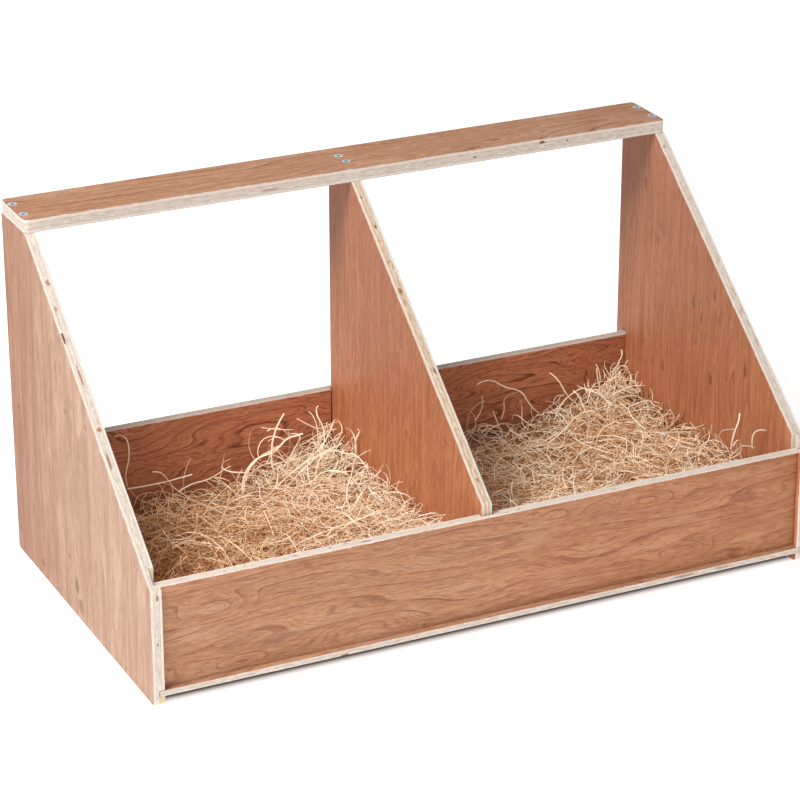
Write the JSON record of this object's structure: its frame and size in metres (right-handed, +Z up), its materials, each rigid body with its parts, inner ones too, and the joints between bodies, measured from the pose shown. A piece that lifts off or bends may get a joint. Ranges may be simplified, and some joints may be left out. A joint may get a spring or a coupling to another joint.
{
  "type": "nesting box",
  "caption": "Low open-fronted plywood nesting box with sloping sides, a middle divider, a lift-out front board and wood-wool bedding.",
  "frame": {"origin": "middle of the footprint, at ground level", "axes": "+X to the right along the box as seen from the open front, +Y from the front to the back, +Z up"},
  "size_m": [0.62, 0.328, 0.33],
  "materials": {
    "side_plywood": "matte",
    "divider_plywood": "matte",
    "front_plywood": "matte",
    "back_plywood": "matte",
    "floor_plywood": "matte",
    "top_plywood": "matte",
    "zinc_steel": "satin",
    "wood_wool": "matte"
  },
  "bodies": {
    "frame": {"left_side": "side_plywood", "right_side": "side_plywood", "divider": "divider_plywood", "back_board": "back_plywood", "floor_panel": "floor_plywood", "top_board": "top_plywood", "left_side_screws": "zinc_steel", "divider_screws": "zinc_steel", "right_side_screws": "zinc_steel", "bedding_left": "wood_wool", "bedding_right": "wood_wool"},
    "front_board": {"front_board": "front_plywood"}
  },
  "joints": [
    {"name": "front_board_lift", "type": "slide", "parent": "frame", "child": "front_board", "axis": [0, 0, 1], "range_m": [0, 0.09]}
  ]
}
